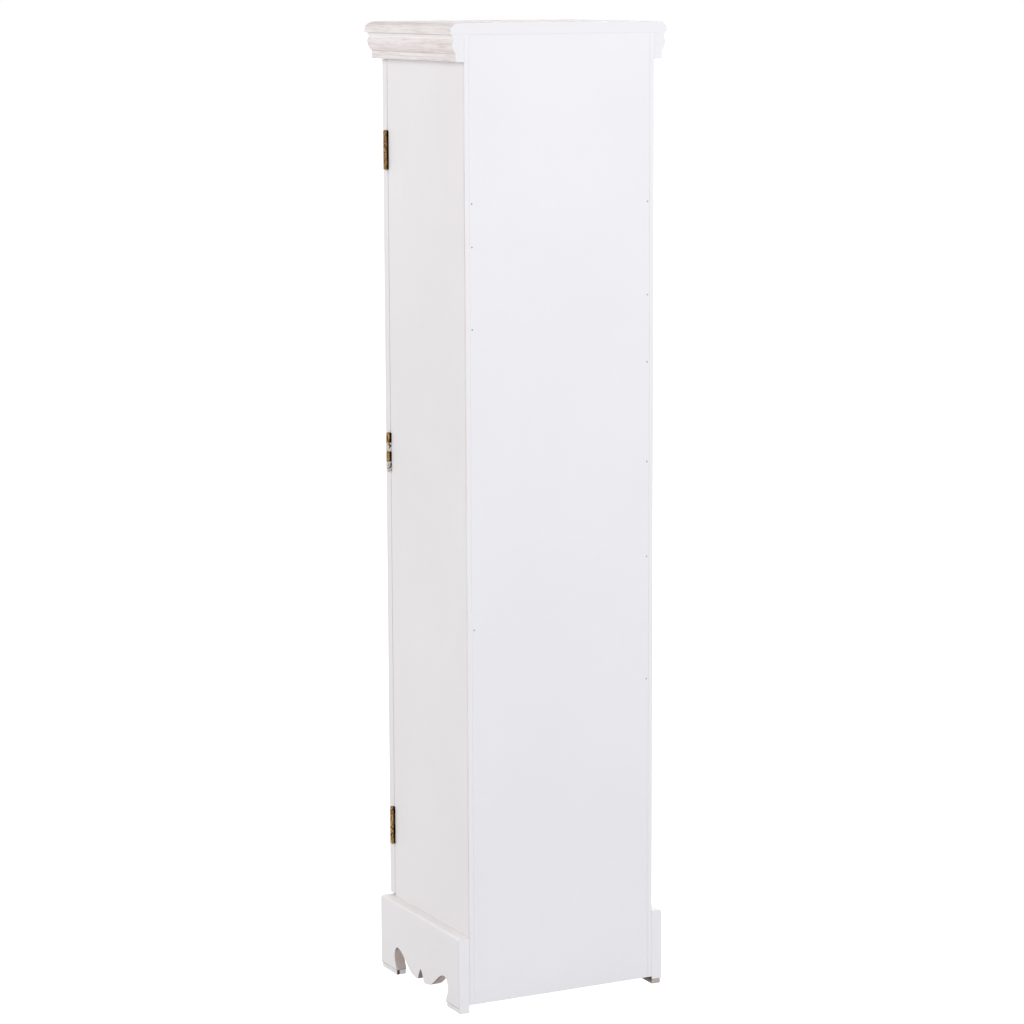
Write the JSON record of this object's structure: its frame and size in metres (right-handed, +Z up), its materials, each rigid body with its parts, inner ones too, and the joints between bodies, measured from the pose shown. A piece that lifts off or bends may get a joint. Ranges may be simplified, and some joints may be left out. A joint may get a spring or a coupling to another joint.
{
  "type": "jewelry armoire",
  "caption": "Tall narrow free-standing jewelry armoire, white painted, limed cornice, scalloped skirt and a hinged mirror door over pegs, ring rolls and shelves",
  "frame": {"origin": "on the floor, under the middle of the whole object's footprint", "axes": "+Z up, the door faces -Y, +X is the hinge side"},
  "size_m": [0.3, 0.257, 1.24],
  "materials": {
    "white_paint": "matte white paint",
    "limed_wood": "limed, whitewashed grain",
    "painted_hardboard": "matte white paint",
    "aged_brass": "aged",
    "zinc_steel": "zinc plated",
    "mirror_glass": "polished",
    "grey_velvet": "velvet",
    "white_plastic": "satin"
  },
  "bodies": {
    "carcass": {"side_panel_right": "white_paint", "side_panel_left": "white_paint", "floor_board": "white_paint", "floor_cleat_right": "white_paint", "floor_cleat_left": "white_paint", "front_top_rail": "white_paint", "skirt_front": "white_paint", "skirt_right": "white_paint", "skirt_left": "white_paint", "shelf_lower": "white_paint", "shelf_middle": "white_paint", "shelf_upper": "white_paint", "lower_divider": "white_paint", "ring_shelf_lip": "white_paint", "necklace_rail": "white_paint", "top_board": "limed_wood", "cornice_moulding_front": "limed_wood", "cornice_moulding_right": "limed_wood", "cornice_moulding_left": "limed_wood", "back_panel": "painted_hardboard", "shelf_pad": "grey_velvet", "floor_pad_right": "grey_velvet", "floor_pad_left": "grey_velvet", "bracelet_bar": "grey_velvet", "ring_roll_1": "grey_velvet", "ring_roll_2": "grey_velvet", "ring_roll_3": "grey_velvet", "ring_roll_4": "grey_velvet", "necklace_peg_1": "aged_brass", "necklace_peg_2": "aged_brass", "necklace_peg_3": "aged_brass", "necklace_peg_4": "aged_brass", "necklace_peg_5": "aged_brass", "catch_magnet": "white_plastic", "hinge_upper_case_leaf": "aged_brass", "hinge_upper_pin": "aged_brass", "hinge_middle_case_leaf": "aged_brass", "hinge_middle_pin": "aged_brass", "hinge_lower_case_leaf": "aged_brass", "hinge_lower_pin": "aged_brass"},
    "door": {"door_stile_hinge": "white_paint", "door_stile_latch": "white_paint", "door_rail_top": "white_paint", "door_rail_bottom": "white_paint", "mirror_bead_right": "white_paint", "mirror_bead_top": "white_paint", "mirror_bead_left": "white_paint", "mirror_bead_bottom": "white_paint", "door_peg_rail": "white_paint", "mirror": "mirror_glass", "mirror_backing": "painted_hardboard", "knob": "aged_brass", "knob_screw": "zinc_steel", "catch_strike": "zinc_steel", "door_peg_1": "aged_brass", "door_peg_2": "aged_brass", "door_peg_3": "aged_brass", "hinge_upper_door_leaf": "aged_brass", "hinge_middle_door_leaf": "aged_brass", "hinge_lower_door_leaf": "aged_brass"}
  },
  "joints": [
    {"name": "door_hinge", "type": "hinge", "parent": "carcass", "child": "door", "pos_m": [0.135, -0.0935, 0.69], "axis": [0, 0, 1], "range_deg": [0, 180]}
  ]
}
